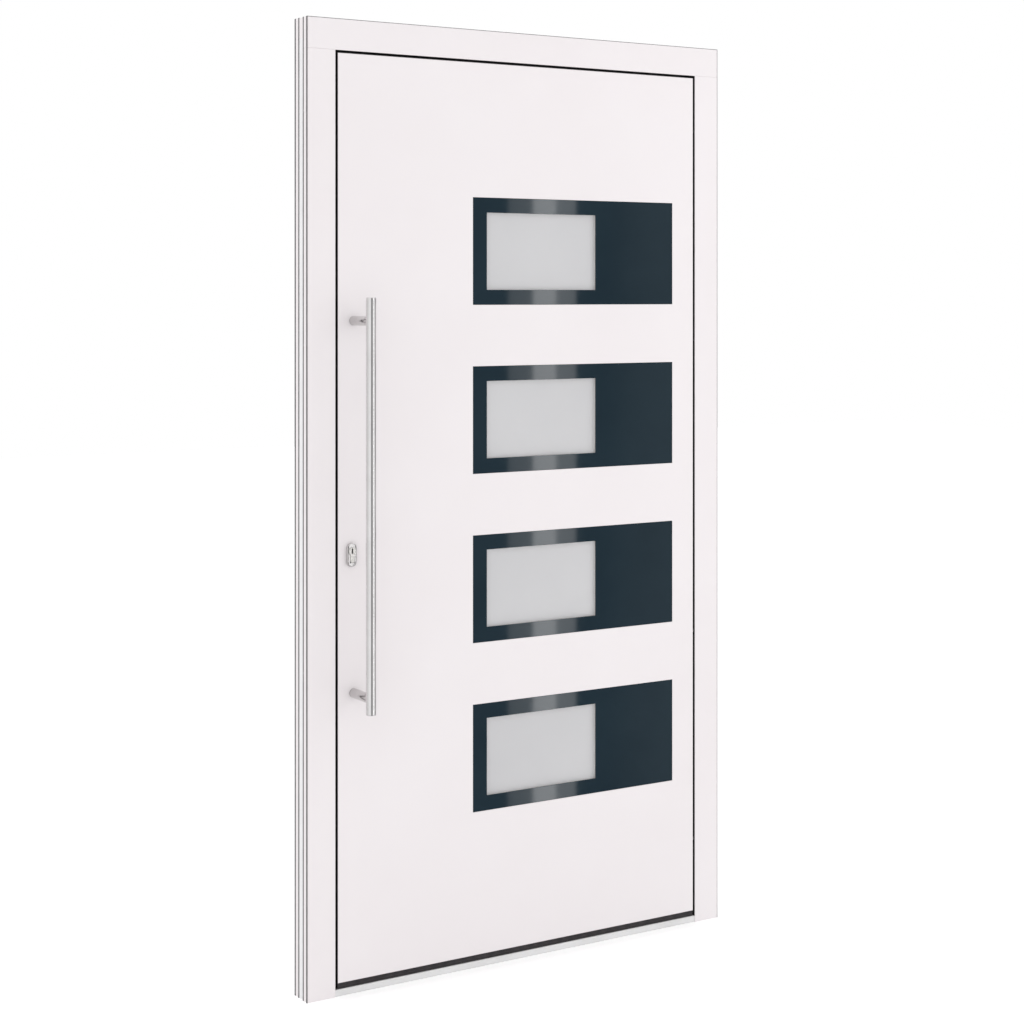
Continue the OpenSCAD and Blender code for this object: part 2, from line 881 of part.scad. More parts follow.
module key_slot(y0, y1) {
    slot_w = 2.4;
    slot_h = 8;
    box([lock_x - slot_w / 2, y0, cylinder_z - slot_h / 2],
        [lock_x + slot_w / 2, y1, cylinder_z + slot_h / 2]);
}

module cylinder_plug() {
    key_d = 14;
    color(steel) difference() {
        union() {
            cyl_y(lock_x, cylinder_z, plug_r, cyl_y0, cyl_y1);
            cyl_y(lock_x, cylinder_z, cyl_r - 0.3, lock_y - cam_t / 2, lock_y + cam_t / 2);
            box([lock_x - cam_w / 2, lock_y - cam_t / 2, cylinder_z - cam_r],
                [lock_x + cam_w / 2, lock_y + cam_t / 2, cylinder_z]);
        }
        key_slot(cyl_y0 - 1, cyl_y0 + key_d);
        key_slot(cyl_y1 - key_d, cyl_y1 + 1);
    }
}

// Oval shield round the cylinder's end, from y0 to y1
module cylinder_rosette(y0, y1) {
    r = rosette_w / 2;
    middle = cylinder_z + cyl_r - cyl_h / 2;
    straight = (rosette_h - rosette_w) / 2;
    difference() {
        union() {
            for (s = [-1, 1]) cyl_y(lock_x, middle + s * straight, r, y0, y1);
            box([lock_x - r, y0, middle - straight], [lock_x + r, y1, middle + straight]);
        }
        euro_prism(y0 - 1, y1 + 1, turn_clear);
    }
}

module cylinder_rosettes() {
    color(steel) {
        cylinder_rosette(front_y - rosette_t, front_y);
        cylinder_rosette(leaf_back_y, leaf_back_y + rosette_t);
    }
}

module lever_rosette() {
    color(steel) difference() {
        cyl_y(lock_x, lever_z, lever_rosette_r, leaf_back_y, leaf_back_y + rosette_t);
        cyl_y(lock_x, lever_z, neck_r + turn_clear, leaf_back_y - 1, leaf_back_y + rosette_t + 1);
    }
}

grip_y = leaf_back_y + 48;

module spindle_box(grow, y0, y1) {
    half = spindle / 2 + grow;
    box([lock_x - half, y0, lever_z - half], [lock_x + half, y1, lever_z + half]);
}

module lever_handle() {
    spindle_end = leaf_back_y + 30;
    color(steel) difference() {
        union() {
            cyl_y(lock_x, lever_z, neck_r, leaf_back_y + fit_gap, grip_y);
            translate([lock_x, grip_y, lever_z]) sphere(r = neck_r);
            cyl_x(grip_y, lever_z, neck_r, lock_x, lock_x + lever_len - neck_r);
            translate([lock_x + lever_len - neck_r, grip_y, lever_z]) sphere(r = neck_r);
        }
        spindle_box(0.05, leaf_back_y - 1, spindle_end);
    }
}

module lever_spindle() {
    follower_half = case_d / 2 - case_wall - 0.2;
    color(steel) {
        spindle_box(0, lock_y - follower_half, leaf_back_y + 29);
        cyl_y(lock_x, lever_z, follower_r, lock_y - follower_half, lock_y + follower_half);
    }
}

module latch_bolt() {
    tip = leaf_inner_e - latch_throw;
    back = tip + latch_len;
    y0 = lock_y - latch_t / 2;
    y1 = lock_y + latch_t / 2;
    color(steel) translate([-door_w / 2, 0, latch_z]) linear_extrude(latch_h) polygon([
        [tip, y1], [tip, y1 - 2], [leaf_inner_e, y0], [back, y0], [back, y1]
    ]);
}

module deadbolt() {
    color(steel) bolt_slot(bolt_z, bolt_h, bolt_t, leaf_inner_e + slide_clear,
                           leaf_inner_e + slide_clear + bolt_len, 0);
}

// Wedge from the origin that covers a ring sector of hook_span degrees
module hook_wedge(reach) {
    polygon([for (turn = [0, hook_span / 2, hook_span], r = turn == 0 ? [0, reach] : [reach])
        r * [cos(180 + hook_start + turn), sin(180 + hook_start + turn)]]);
}

// Ring sector and arm on a hub; at rest it hangs inside the leaf's edge
module hook(z) {
    arm_w = 9;
    color(steel) translate([-door_w / 2 + hook_pivot_e, lock_y + hook_t / 2, z])
        rotate([90, 0, 0]) linear_extrude(hook_t) difference() {
            union() {
                circle(r = hook_hub_r);
                intersection() {
                    difference() {
                        circle(r = hook_r1);
                        circle(r = hook_r0);
                    }
                    hook_wedge(2 * hook_r1);
                }
                rotate(180 + hook_start + hook_span - 14)
                    translate([0, -arm_w / 3]) square([hook_r0 + 4, arm_w]);
            }
            circle(r = hook_pin_r + turn_clear);
        }
}

// Rail behind the faceplate that carries the cylinder's turn to both hooks. It rises as it
// locks, so every slot in it is longer by its travel at the lower end.
module drive_rod() {
    x0 = -door_w / 2 + rod_e;
    x1 = x0 + rod_t;
    low = hook_z[0] + hook_screw[0] - rod_travel - 10;
    high = hook_z[1] + hook_screw[1] + 10;
    screw_half = screw_r + slide_clear;
    color(steel) difference() {
        box([x0, lock_y - rod_w / 2, low], [x1, lock_y + rod_w / 2, high]);
        for (slot = [[latch_z, latch_h, latch_t], [bolt_z, bolt_h, bolt_t]])
            bolt_slot(slot[0] - rod_travel, slot[1] + rod_travel, slot[2],
                      rod_e - 1, rod_e + rod_t + 1, slide_clear);
        for (z = hook_z)
            bolt_slot(z + hook_slot[0] - rod_travel, hook_slot[1] - hook_slot[0] + rod_travel,
                      hook_t, rod_e - 1, rod_e + rod_t + 1, slide_clear);
        for (z = edge_screws)
            box([x0 - 1, lock_y - screw_half, z - screw_half - rod_travel],
                [x1 + 1, lock_y + screw_half, z + screw_half]);
    }
}

// ---- pull bar ----

module pull_bar() {
    c = 1.5;
    color(steel) translate([bar_x, bar_y, bar_z]) rotate_extrude() polygon([
        [0, 0], [bar_r - c, 0], [bar_r, c], [bar_r, bar_len - c], [bar_r - c, bar_len],
        [0, bar_len]
    ]);
}

module pull_posts() {
    seam = 1.5;
    seam_y = bar_y + bar_r + seam;
    color(steel) difference() {
        for (z = post_z) {
            cyl_y(bar_x, z, post_r, seam_y + seam, front_y);
            cyl_y(bar_x, z, post_r - 1, seam_y - tiny, seam_y + seam + tiny);
            cyl_y(bar_x, z, post_r, bar_y, seam_y);
        }
        translate([bar_x, bar_y, bar_z - 1]) cylinder(r = bar_r + turn_clear, h = bar_len + 2);
        for (z = post_z) cyl_y(bar_x, z, stud_r + turn_clear, front_y - stud_out, front_y + 1);
    }
}

module pull_fixings() {
    nut_y = skin_back_y + wall;
    color(steel) for (z = post_z) {
        cyl_y(bar_x, z, stud_r, front_y - stud_out + 0.5, nut_y + nut_t + 4);
        translate([bar_x, nut_y, z]) rotate([-90, 0, 0]) cylinder(r = nut_r, h = nut_t, $fn = 6);
    }
}

head_outer_shell();
head_thermal_break();
head_inner_shell();
head_end_caps();
jamb_outer_shell(-1);  // lock_jamb_outer_shell
jamb_thermal_break(-1);  // lock_jamb_thermal_break
lock_jamb_inner_shell();
jamb_outer_shell(1);  // hinge_jamb_outer_shell
jamb_thermal_break(1);  // hinge_jamb_thermal_break
hinge_jamb_inner_shell();
threshold_outer_rail();
threshold_thermal_break();
threshold_inner_rail();
frame_seal();
main_strike();
hook_strikes();
frame_screws();
hinge_frame_half(hinge_z[0]);  // hinge_frame_half_bottom
hinge_frame_half(hinge_z[1]);  // hinge_frame_half_middle
hinge_frame_half(hinge_z[2]);  // hinge_frame_half_top
hinge_pins();
outer_skin();
inner_skin();
lock_stile();
hinge_stile();
top_rail();
bottom_rail();
leaf_thermal_breaks();
insulation_core();
window_plate(0);  // window_plate_1
window_plate(1);  // window_plate_2
window_plate(2);  // window_plate_3
window_plate(3);  // window_plate_4
glass_panes();
glass_spacers();
glazing_tapes();
inner_trims();
leaf_seal();
bottom_seal();
hinge_leaf_half(hinge_z[0]);  // hinge_leaf_half_bottom
hinge_leaf_half(hinge_z[1]);  // hinge_leaf_half_middle
hinge_leaf_half(hinge_z[2]);  // hinge_leaf_half_top
leaf_screws();
lock_case();
hook_cases();
lock_faceplate();
cylinder_body();
cylinder_rosettes();
lever_rosette();
pull_bar();
pull_posts();
pull_fixings();
lever_handle();
lever_spindle();
latch_bolt();
cylinder_plug();
deadbolt();
hook(hook_z[1]);  // upper_hook
hook(hook_z[0]);  // lower_hook
drive_rod();
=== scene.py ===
"""Entrance door: the finishes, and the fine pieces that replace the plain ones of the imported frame."""
import json
import math
import bmesh
import bpy
from mathutils import Euler, Matrix, Vector

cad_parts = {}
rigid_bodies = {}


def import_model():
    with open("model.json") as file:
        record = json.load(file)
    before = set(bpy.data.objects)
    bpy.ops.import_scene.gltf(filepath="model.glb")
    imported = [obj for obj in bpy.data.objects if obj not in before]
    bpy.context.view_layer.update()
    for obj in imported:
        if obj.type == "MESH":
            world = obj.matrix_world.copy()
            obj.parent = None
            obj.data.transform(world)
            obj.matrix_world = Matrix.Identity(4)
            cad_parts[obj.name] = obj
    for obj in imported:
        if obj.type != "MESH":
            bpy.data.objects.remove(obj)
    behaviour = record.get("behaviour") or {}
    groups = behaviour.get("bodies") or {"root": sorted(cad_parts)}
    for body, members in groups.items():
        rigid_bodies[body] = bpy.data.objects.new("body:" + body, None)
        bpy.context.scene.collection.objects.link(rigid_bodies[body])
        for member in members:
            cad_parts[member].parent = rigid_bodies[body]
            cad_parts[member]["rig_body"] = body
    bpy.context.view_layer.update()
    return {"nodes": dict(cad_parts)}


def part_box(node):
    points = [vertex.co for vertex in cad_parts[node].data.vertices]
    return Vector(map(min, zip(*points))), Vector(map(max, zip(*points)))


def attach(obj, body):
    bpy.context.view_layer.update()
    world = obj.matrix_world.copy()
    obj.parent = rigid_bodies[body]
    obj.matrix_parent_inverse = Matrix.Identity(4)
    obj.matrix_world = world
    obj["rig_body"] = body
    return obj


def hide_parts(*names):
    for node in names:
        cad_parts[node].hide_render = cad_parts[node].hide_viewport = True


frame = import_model()
nodes = frame["nodes"]

MM = 0.001
RING_STEPS = 48
QUARTER = (0, 22.5, 45, 67.5, 90)  # steps of a rounded edge, in degrees
MERGE = 0.001  # points closer than this, in millimetres, are one
WHITE = 1.0  # brightness of the background
DIM = 0.42  # brightness of the mirrored room below the horizon
BRIGHT = 1.4  # brightest part of the mirrored room, without the strip light
STRIP_SCALE = 5.0  # brings the strip light's values into a colour ramp's 0 to 1


# ---------------------------------------------------------------- places taken from the frame

jamb_low, jamb_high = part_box("lock_jamb_outer_shell")
head_low, head_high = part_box("head_outer_shell")
sill_low, sill_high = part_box("threshold_outer_rail")
skin_low, skin_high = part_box("outer_skin")
bar_low, bar_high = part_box("pull_bar")
posts_low, posts_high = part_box("pull_posts")
rosettes_low, rosettes_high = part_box("cylinder_rosettes")
cylinder_low, cylinder_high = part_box("cylinder_body")
plug_low, plug_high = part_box("cylinder_plug")
lever_low, lever_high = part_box("lever_handle")
disc_low, disc_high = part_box("lever_rosette")

front_y = jamb_low.y
side_x = jamb_low.x
frame_top = head_high.z
rosette_proud = 7  # millimetres
outer_leaf_y = rosettes_low.y + rosette_proud * MM
room_leaf_y = rosettes_high.y - rosette_proud * MM
cylinder_r = 8.5


# ---------------------------------------------------------------- shader groups

def new_group(name, inputs, outputs):
    group = bpy.data.node_groups.new(name, "ShaderNodeTree")
    for label, kind, value in inputs:
        socket = group.interface.new_socket(name=label, in_out="INPUT", socket_type=kind)
        socket.default_value = value
    for label, kind in outputs:
        group.interface.new_socket(name=label, in_out="OUTPUT", socket_type=kind)
    return group, group.nodes.new("NodeGroupInput"), group.nodes.new("NodeGroupOutput")


def grain_group():
    """Noise on the piece's own coordinates, stretched along a direction and spread over 0 to 1."""
    group, given, out = new_group(
        "grain",
        [("Stretch", "NodeSocketVector", (1, 1, 1)), ("Scale", "NodeSocketFloat", 100.0),
         ("Detail", "NodeSocketFloat", 3.0)],
        [("Value", "NodeSocketFloat")])
    place = group.nodes.new("ShaderNodeTexCoord")
    stretch = group.nodes.new("ShaderNodeVectorMath")
    stretch.operation = "MULTIPLY"
    noise = group.nodes.new("ShaderNodeTexNoise")
    spread = group.nodes.new("ShaderNodeMapRange")
    spread.inputs["From Min"].default_value = 0.3
    spread.inputs["From Max"].default_value = 0.7
    join = group.links.new
    join(place.outputs["Object"], stretch.inputs[0])
    join(given.outputs["Stretch"], stretch.inputs[1])
    join(stretch.outputs["Vector"], noise.inputs["Vector"])
    join(given.outputs["Scale"], noise.inputs["Scale"])
    join(given.outputs["Detail"], noise.inputs["Detail"])
    join(noise.outputs["Fac"], spread.inputs["Value"])
    join(spread.outputs["Result"], out.inputs["Value"])
    return group


def two_tone_group():
    """A colour that drifts between two tones."""
    group, given, out = new_group(
        "two_tone",
        [("Tone", "NodeSocketColor", (1, 1, 1, 1)), ("Other tone", "NodeSocketColor", (1, 1, 1, 1)),
         ("Mask", "NodeSocketFloat", 0.5)],
        [("Color", "NodeSocketColor")])
    mix = group.nodes.new("ShaderNodeMix")
    mix.data_type = "RGBA"
    join = group.links.new
    join(given.outputs["Mask"], mix.inputs["Factor"])
    join(given.outputs["Tone"], mix.inputs["A"])
    join(given.outputs["Other tone"], mix.inputs["B"])
    join(mix.outputs["Result"], out.inputs["Color"])
    return group


def between_group():
    """A number that drifts between two limits."""
    group, given, out = new_group(
        "between",
        [("Low", "NodeSocketFloat", 0.0), ("High", "NodeSocketFloat", 1.0),
         ("Mask", "NodeSocketFloat", 0.5)],
        [("Value", "NodeSocketFloat")])
    spread = group.nodes.new("ShaderNodeMapRange")
    join = group.links.new
    join(given.outputs["Mask"], spread.inputs["Value"])
    join(given.outputs["Low"], spread.inputs["To Min"])
    join(given.outputs["High"], spread.inputs["To Max"])
    join(spread.outputs["Result"], out.inputs["Value"])
    return group


GRAIN = grain_group()
TWO_TONE = two_tone_group()
BETWEEN = between_group()


# ---------------------------------------------------------------- materials

def placed(tree, group, **values):
    node = tree.nodes.new("ShaderNodeGroup")
    node.node_tree = group
    for label, value in values.items():
        node.inputs[label.replace("_", " ")].default_value = value
    return node


def grain(tree, scale, stretch=(1, 1, 1), detail=3.0):
    return placed(tree, GRAIN, Scale=scale, Stretch=stretch, Detail=detail).outputs["Value"]


def finish(name, tones, roughness, drift=8, texture=(600, (1, 1, 1), 0.02), metallic=0.0, **plain):
    """A Principled finish: two tones and a roughness that drift, and a fine texture as bump.
    texture is its scale, its stretch and its height in millimetres."""
    look = bpy.data.materials.new(name)
    look.use_nodes = True
    tree = look.node_tree
    shader = tree.nodes["Principled BSDF"]
    shader.inputs["Metallic"].default_value = metallic
    for label, value in plain.items():
        shader.inputs[label.replace("_", " ")].default_value = value
    join = tree.links.new
    clouds = grain(tree, drift)
    scale, stretch, height = texture
    fine = grain(tree, scale, stretch)
    tone = placed(tree, TWO_TONE, Tone=(*tones[0], 1), Other_tone=(*tones[1], 1))
    join(clouds, tone.inputs["Mask"])
    join(tone.outputs["Color"], shader.inputs["Base Color"])
    rough = placed(tree, BETWEEN, Low=roughness[0], High=roughness[1])
    join(fine, rough.inputs["Mask"])
    join(rough.outputs["Value"], shader.inputs["Roughness"])
    bump = tree.nodes.new("ShaderNodeBump")
    bump.inputs["Distance"].default_value = height * MM
    bump.inputs["Strength"].default_value = 0.6
    join(fine, bump.inputs["Height"])
    join(bump.outputs["Normal"], shader.inputs["Normal"])
    return look


def white_coat():
    return finish("white_coat", ((0.818, 0.774, 0.786), (0.838, 0.798, 0.811)), (0.30, 0.40),
                  drift=3, texture=(420, (1, 1, 1), 0.010), Specular_IOR_Level=0.45)


def anthracite_coat():
    return finish("anthracite", ((0.014, 0.026, 0.036), (0.018, 0.032, 0.043)), (0.018, 0.028),
                  drift=5, texture=(120, (1, 1, 1), 0.0004))


def brushed_stainless():
    return finish("stainless", ((0.74, 0.725, 0.73), (0.80, 0.785, 0.79)), (0.11, 0.18),
                  drift=20, texture=(1400, (1, 1, 0.02), 0.002), metallic=1.0)


def turned_stainless():
    return finish("stainless_turned", ((0.60, 0.585, 0.585), (0.67, 0.655, 0.655)), (0.12, 0.18),
                  drift=25, texture=(1500, (1, 0.05, 1), 0.003), metallic=1.0)


def satin_nickel():
    return finish("nickel", ((0.60, 0.585, 0.565), (0.67, 0.655, 0.635)), (0.22, 0.30),
                  drift=40, texture=(1800, (1, 0.1, 1), 0.002), metallic=1.0)


def zinc_plate():
    return finish("zinc_steel", ((0.58, 0.60, 0.63), (0.70, 0.71, 0.73)), (0.30, 0.45),
                  drift=120, texture=(500, (1, 1, 1), 0.004), metallic=1.0)


def brushed_lock_steel():
    return finish("lock_steel", ((0.56, 0.57, 0.58), (0.68, 0.69, 0.70)), (0.26, 0.42),
                  drift=30, texture=(1200, (1, 1, 0.03), 0.004), metallic=1.0)


def black_rubber():
    return finish("rubber", ((0.010, 0.010, 0.011), (0.020, 0.019, 0.020)), (0.55, 0.75),
                  drift=60, texture=(900, (1, 1, 1), 0.02), Specular_IOR_Level=0.3)


def seal_rubber():
    return finish("seal_rubber", ((0.020, 0.017, 0.019), (0.032, 0.027, 0.030)), (0.45, 0.65),
                  drift=60, texture=(900, (0.05, 1, 1), 0.02))


# A grey that paints the shade of the grooves along the frame's sides.
def painted_groove_shade_grey():
    return finish("groove_shade_grey", ((0.115, 0.11, 0.115), (0.15, 0.145, 0.15)), (0.50, 0.65),
                  drift=40, texture=(900, (1, 1, 0.1), 0.01))


def jamb_break():
    return finish("jamb_break", ((0.78, 0.775, 0.79), (0.83, 0.825, 0.84)), (0.40, 0.52),
                  drift=15, texture=(700, (1, 1, 0.1), 0.01))


def polyamide():
    return finish("polyamide", ((0.022, 0.022, 0.024), (0.040, 0.040, 0.043)), (0.45, 0.65),
                  drift=150, texture=(900, (0.1, 1, 1), 0.02))


def anodised_threshold():
    return finish("threshold_metal", ((0.74, 0.735, 0.735), (0.80, 0.795, 0.80)), (0.32, 0.44),
                  drift=12, texture=(900, (0.02, 1, 1), 0.008), metallic=0.25)


def frosted_glass():
    look = finish("frosted_glass", ((0.715, 0.712, 0.728), (0.765, 0.762, 0.775)), (0.30, 0.42),
                  drift=3, texture=(1500, (1, 1, 1), 0.01), IOR=1.45)
    look.node_tree.nodes["Principled BSDF"].inputs["Transmission Weight"].default_value = 0.25
    return look


def spacer_metal():
    return finish("spacer_metal", ((0.55, 0.55, 0.57), (0.64, 0.64, 0.66)), (0.30, 0.40),
                  drift=40, texture=(900, (1, 1, 1), 0.01), metallic=1.0)


def reveal_tape():
    return finish("reveal_tape", ((0.55, 0.54, 0.53), (0.60, 0.59, 0.585)), (0.50, 0.65),
                  drift=40, texture=(900, (1, 1, 1), 0.02))


def rigid_foam():
    return finish("foam", ((0.66, 0.58, 0.36), (0.74, 0.66, 0.44)), (0.75, 0.90),
                  drift=200, texture=(700, (1, 1, 1), 0.15))


LOOKS = {
    "white_coat": white_coat(), "anthracite": anthracite_coat(), "stainless": brushed_stainless(),
    "nickel": satin_nickel(), "zinc_steel": zinc_plate(), "lock_steel": brushed_lock_steel(),
    "rubber": black_rubber(), "jamb_break": jamb_break(), "polyamide": polyamide(),
    "threshold_metal": anodised_threshold(), "frosted_glass": frosted_glass(),
    "spacer_metal": spacer_metal(), "reveal_tape": reveal_tape(), "foam": rigid_foam(),
}
TURNED = turned_stainless()
SEAL = seal_rubber()
GROOVE_SHADE = painted_groove_shade_grey()


SLOTS = {name: node.data.materials[0].name for name, node in nodes.items()}


def repaint_frame():
    """Each CAD piece takes the finish of its slot."""
    for name, node in nodes.items():
        node.data.materials[0] = LOOKS[SLOTS[name]]


# ---------------------------------------------------------------- making pieces

def body_of(node):
    return nodes[node]["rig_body"]


def make(name, shape, look, body, replaced=(), sharp=35, flat=()):
    """Turns a finished bmesh into a piece that rides on a body. Faces in flat keep their plane shading."""
    for face in shape.faces:
        face.smooth = face not in flat
    for edge in shape.edges:
        edge.smooth = edge.calc_face_angle(math.pi) < math.radians(sharp)
    mesh = bpy.data.meshes.new(name)
    shape.to_mesh(mesh)
    shape.free()
    thing = bpy.data.objects.new(name, mesh)
    bpy.context.scene.collection.objects.link(thing)
    mesh.materials.append(look)
    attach(thing, body)
    if replaced:
        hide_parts(*replaced)
    return thing


def softened(node, width=0.5, shortest=5.0):
    """A copy of a CAD piece whose sharp edges are rounded. Edges shorter than shortest, such as those
    of a drilled hole, stay crisp."""
    shape = bmesh.new()
    shape.from_mesh(nodes[node].data)
    bmesh.ops.remove_doubles(shape, verts=shape.verts[:], dist=MERGE * MM)
    bmesh.ops.dissolve_limit(shape, angle_limit=math.radians(0.5), verts=shape.verts[:],
                             edges=shape.edges[:], use_dissolve_boundaries=False)
    edges = [edge for edge in shape.edges
             if edge.is_manifold and edge.calc_length() > shortest * MM
             and edge.calc_face_angle() > math.radians(50)]
    rounded = bmesh.ops.bevel(shape, geom=edges, offset=width * MM, offset_type="OFFSET",
                              affect="EDGES", segments=2, profile=0.5, material=-1,
                              clamp_overlap=True)
    flat = set(shape.faces) - set(rounded["faces"])
    look = nodes[node].data.materials[0]
    return make(node + "_finished", shape, look, body_of(node), (node,), flat=flat)


def outline_verts(shape, points):
    """A closed outline of vertices and edges."""
    verts = [shape.verts.new(point) for point in points]
    return [shape.edges.new((verts[i - 1], verts[i])) for i in range(len(verts))]


def lofted(loops, name, look, body, replaced=(), closed_ends=True, sharp=35):
    """A skin over outlines that all have the same number of points."""
    shape = bmesh.new()
    rings = [outline_verts(shape, loop) for loop in loops]
    for first, second in zip(rings, rings[1:]):
        bmesh.ops.bridge_loops(shape, edges=first + second)
    if closed_ends:
        bmesh.ops.contextual_create(shape, geom=rings[0])
        bmesh.ops.contextual_create(shape, geom=rings[-1])
    bmesh.ops.recalc_face_normals(shape, faces=shape.faces[:])
    return make(name, shape, look, body, replaced, sharp)


def add_turned(shape, profile, base, axis, steps=64):
    """Spins a profile of (radius, height) points, in millimetres, round an axis from a base point."""
    verts = [shape.verts.new((radius * MM, 0, height * MM)) for radius, height in profile]
    edges = [shape.edges.new(pair) for pair in zip(verts, verts[1:])]
    before = set(shape.verts) - set(verts)
    bmesh.ops.spin(shape, geom=verts + edges, cent=(0, 0, 0), axis=(0, 0, 1), dvec=(0, 0, 0),
                   angle=2 * math.pi, steps=steps, use_merge=True, use_duplicate=False)
    fresh = [vert for vert in shape.verts if vert not in before]
    bmesh.ops.remove_doubles(shape, verts=fresh, dist=MERGE * MM)
    fresh = [vert for vert in shape.verts if vert not in before]
    turn = Vector((0, 0, 1)).rotation_difference(Vector(axis)).to_matrix().to_4x4()
    bmesh.ops.transform(shape, matrix=Matrix.Translation(base) @ turn, verts=fresh)


def turned(name, parts, look, body, replaced=(), steps=64):
    """One piece of several turned solids; parts are (profile, base, axis)."""
    shape = bmesh.new()
    for profile, base, axis in parts:
        add_turned(shape, profile, base, axis, steps)
    bmesh.ops.recalc_face_normals(shape, faces=shape.faces[:])
    return make(name, shape, look, body, replaced)


def rounded_end(radius, height, size, inward):
    """Profile points of a rounded edge at height; inward is +1 at a solid's far end, -1 at its start."""
    turns = [math.radians(a) for a in QUARTER]
    points = [(radius - size + size * math.cos(t), height - inward * size * (1 - math.sin(t)))
              for t in turns]
    return points if inward > 0 else points[::-1]


def add_strip(shape, outline, place, start, end):
    """An extruded strip: outline points (a, b) set by place(a, b, t), from t=start to t=end."""
    first = outline_verts(shape, [place(a, b, start) for a, b in outline])
    face = bmesh.ops.contextual_create(shape, geom=first)["faces"]
    made = bmesh.ops.extrude_face_region(shape, geom=face, use_keep_orig=True)
    moved = [item for item in made["geom"] if isinstance(item, bmesh.types.BMVert)]
    bmesh.ops.translate(shape, verts=moved, vec=place(0, 0, end) - place(0, 0, start))


def crowned(width, depth, crown=0.5, steps=6):
    """Outline of a strip with a crowned top: width along a, depth along b."""
    arc = [(width / 2 * math.cos(t), depth + crown * math.sin(t))
           for t in (math.pi * i / steps for i in range(steps + 1))]
    return [(width / 2, 0)] + arc + [(-width / 2, 0)]


# ---------------------------------------------------------------- frame pieces

ANCHOR_DEPTH = 10.5  # behind the frame's front, in millimetres
ANCHOR_HEIGHTS = (0.2, 0.7, 1.4, 1.9)
# Strips of painted groove shade: middle along the depth, and width.
SIDE_GROOVE_SHADES = ((-27.6, 5.4), (-11.2, 4.8), (11.0, 4.4), (28.0, 6.2))  # middle along the depth, and width


def painted_side_groove_shade():
    """Grey strips down both outer sides and over the head, in line with the joints of the profile; their
    grey is painted shade of the grooves there.
    """
    shape = bmesh.new()
    for middle, width in SIDE_GROOVE_SHADES:
        section = crowned(width, 0.9, 0.3)
        for side in (-1, 1):
            def upright(a, b, t):
                return Vector((-side * side_x + side * (b - 0.8) * MM, (middle + a) * MM, t))
            add_strip(shape, section, upright, 0.0, frame_top)

        def over(a, b, t):
            return Vector((t, (middle + a) * MM, frame_top + (b - 0.8) * MM))
        add_strip(shape, section, over, side_x, -side_x)
    bmesh.ops.recalc_face_normals(shape, faces=shape.faces[:])
    return make("frame_painted_side_groove_shade", shape, GROOVE_SHADE, "frame")


def anchor_caps():
    """White press-in caps that close the anchor bores, on the outer sides and in the reveals."""
    flange_r, proud = 5.9, 0.5
    plug = [(0, -3.0), (4.6, -3.0), (4.9, 0.0)]
    profile = plug + [(flange_r, 0.0), *rounded_end(flange_r, proud, 0.3, 1), (0, proud)]
    middle_y = front_y + ANCHOR_DEPTH * MM
    parts = []
    for z in ANCHOR_HEIGHTS:
        for side in (-1, 1):
            parts.append((profile, Vector((-side * side_x, middle_y, z)), (side, 0, 0)))
            parts.append((profile, Vector((-side * jamb_high.x, middle_y, z)), (-side, 0, 0)))
    return turned("anchor_hole_caps", parts, LOOKS["white_coat"], "frame", steps=32)


def ring_strip(name, section, edge_x, top_z, bottom_z, look, body, replaced=()):
    """A strip up the lock side, over the top and down the hinge side; section is (inset, y) in
    millimetres, measured outwards from edge_x and top_z."""
    loops = []
    for corner_x, corner_z, side, up in ((-edge_x, bottom_z, -1, 0), (-edge_x, top_z, -1, 1),
                                         (edge_x, top_z, 1, 1), (edge_x, bottom_z, 1, 0)):
        loops.append([Vector((corner_x + side * inset * MM, y * MM, corner_z + up * inset * MM))
                      for inset, y in section])
    return lofted(loops, name, look, body, replaced)


def painted_gap_shade_linings():
    """Black rubber sheets on both walls of the gap round the leaf, painted shade for the dark depth of the
    gap.
    """
    front, back = -28.9, -9.6
    thick, sunk = 0.5, 0.3
    shade_section = [(sunk, front), (-thick, front + 0.5), (-thick, back - 0.4), (sunk, back)]
    # The black of these sheets is painted shade deep in the gap.
    ring_strip("frame_gap_painted_shade", shade_section, -jamb_high.x, head_low.z, sill_high.z, LOOKS["rubber"],
               "frame")
    edge = [(-inset, y) for inset, y in shade_section]
    ring_strip("leaf_gap_painted_shade", edge, -skin_low.x, skin_high.z, skin_low.z, LOOKS["rubber"],
               "leaf")


def frame_gasket():
    """The frame's own seal: a foot with a lip, and a round bulb that meets the leaf."""
    low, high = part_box("frame_seal")
    bulb_r = 2.0
    arc = [math.radians(a) for a in range(-90, 91, 30)]
    bulb = [(-2.4 + bulb_r * math.cos(t), -6.4 + bulb_r * math.sin(t)) for t in arc]
    foot = [(-6.0, -9.0), (-0.4, -9.0), (0.0, -8.6), (-0.6, -8.2)]
    section = foot + bulb + [(-5.6, -4.6), (-6.0, -5.0)]
    ring_strip("frame_gasket", section, high.x, high.z, low.z, SEAL, "frame", ("frame_seal",))


def leaf_gasket():
    """The leaf's seal, a ribbed strip under the flange."""
    low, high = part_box("leaf_seal")
    section = [(-5.0, 34.0), (0.0, 34.0), (0.0, 32.8), (-0.8, 32.4), (-0.4, 31.4), (-1.6, 30.4),
               (-3.2, 30.4), (-4.4, 31.2), (-5.0, 32.0)]
    ring_strip("leaf_gasket", section, high.x, high.z, low.z, SEAL, "leaf", ("leaf_seal",))


